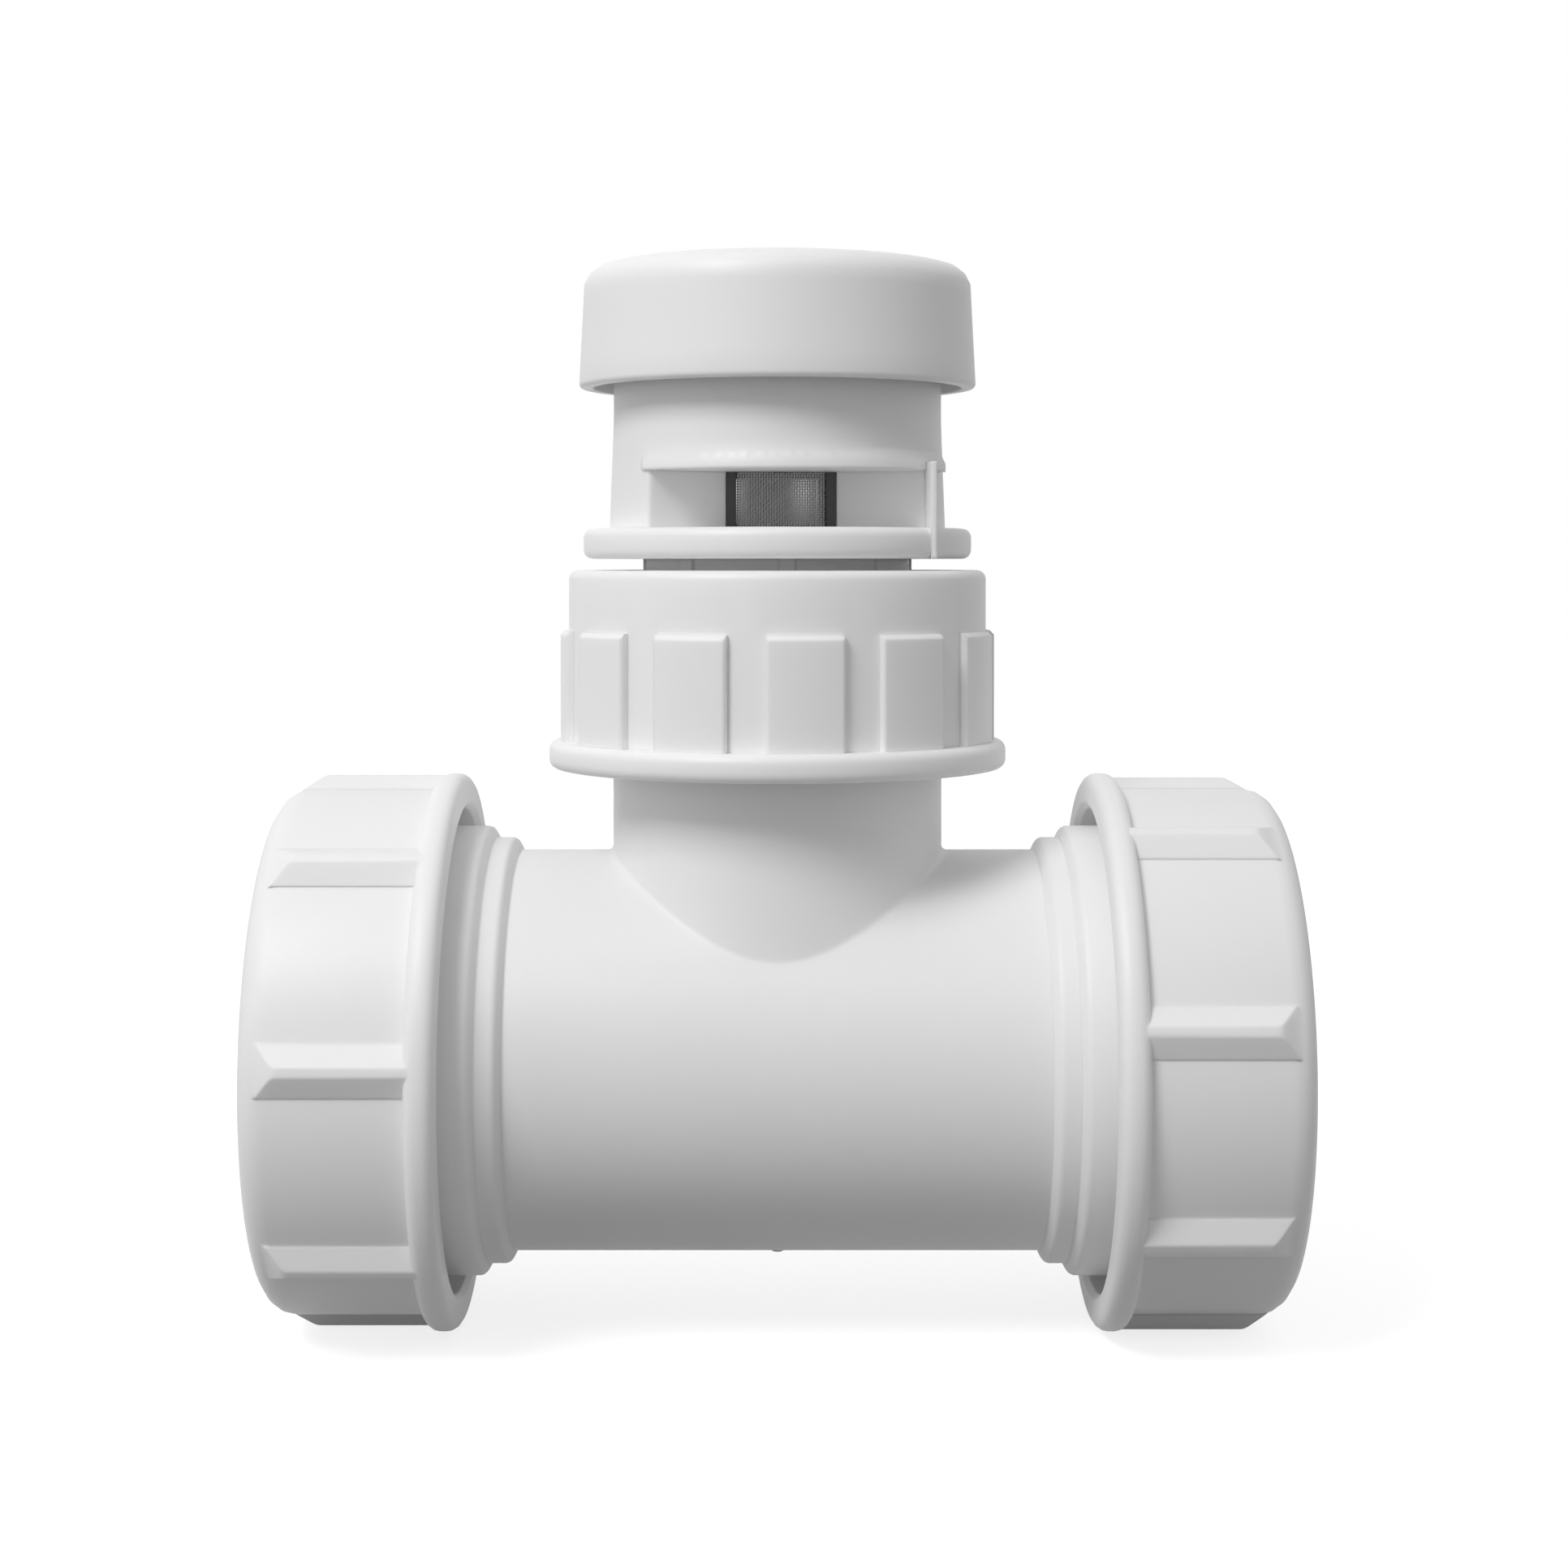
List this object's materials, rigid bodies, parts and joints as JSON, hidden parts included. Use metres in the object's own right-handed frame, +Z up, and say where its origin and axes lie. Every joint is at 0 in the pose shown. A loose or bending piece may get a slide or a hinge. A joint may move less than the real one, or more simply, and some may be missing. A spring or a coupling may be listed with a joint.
{
  "type": "air admittance valve on a compression tee",
  "caption": "White plastic waste tee with a compression nut on each end of the run and a capped air admittance valve held in the branch by a third nut.",
  "frame": {"origin": "where the axis of the run crosses the axis of the branch", "axes": "X along the run of the tee, +Z up the branch to the valve's cap, -Y towards the front window"},
  "size_m": [0.1124, 0.0622, 0.1212],
  "materials": {
    "white_plastic": "satin moulded polypropylene",
    "washer_plastic": "natural polyethylene",
    "seal_rubber": "matt moulded rubber",
    "screen_plastic": "dark grey moulded plastic",
    "gauze": "grey woven nylon gauze",
    "diaphragm_rubber": "smooth moulded silicone",
    "carrier_plastic": "moulded acetal"
  },
  "bodies": {
    "fitting": {"tee_body": "white_plastic", "run_seal_left": "seal_rubber", "run_seal_right": "seal_rubber", "branch_seal": "seal_rubber", "valve_body": "white_plastic", "valve_cap": "white_plastic", "cap_seal": "seal_rubber", "screen_frame": "screen_plastic", "screen_gauze_front": "gauze", "screen_gauze_back": "gauze"},
    "left_washer": {"run_slip_washer_left": "washer_plastic"},
    "left_nut": {"run_nut_left": "white_plastic"},
    "right_washer": {"run_slip_washer_right": "washer_plastic"},
    "right_nut": {"run_nut_right": "white_plastic"},
    "top_washer": {"branch_slip_washer": "washer_plastic"},
    "top_nut": {"branch_nut": "white_plastic"},
    "poppet": {"diaphragm": "diaphragm_rubber", "diaphragm_carrier": "carrier_plastic", "diaphragm_retainer": "carrier_plastic"}
  },
  "joints": [
    {"name": "left_nut_travel", "type": "slide", "parent": "fitting", "child": "left_washer", "axis": [-1, 0, 0], "range_m": [0, 0.00801]},
    {"name": "left_nut_turn", "type": "hinge", "parent": "left_washer", "child": "left_nut", "pos_m": [-0.045, 0, 0], "axis": [-1, 0, 0], "range_deg": [0, 720]},
    {"name": "right_nut_travel", "type": "slide", "parent": "fitting", "child": "right_washer", "axis": [1, 0, 0], "range_m": [0, 0.00801]},
    {"name": "right_nut_turn", "type": "hinge", "parent": "right_washer", "child": "right_nut", "pos_m": [0.045, 0, 0], "axis": [1, 0, 0], "range_deg": [0, 720]},
    {"name": "top_nut_travel", "type": "slide", "parent": "fitting", "child": "top_washer", "axis": [0, 0, 1], "range_m": [0, 0.00093]},
    {"name": "top_nut_turn", "type": "hinge", "parent": "top_washer", "child": "top_nut", "pos_m": [0, 0, 0.043], "axis": [0, 0, 1], "range_deg": [0, 110]},
    {"name": "diaphragm_lift", "type": "slide", "parent": "fitting", "child": "poppet", "axis": [0, 0, 1], "range_m": [0, 0.0035]}
  ],
  "couplings": [
    {"joint": "left_nut_travel", "follows": "left_nut_turn", "m_per_rad": 0.00063662},
    {"joint": "right_nut_travel", "follows": "right_nut_turn", "m_per_rad": 0.00063662},
    {"joint": "top_nut_travel", "follows": "top_nut_turn", "m_per_rad": 0.00047746}
  ]
}
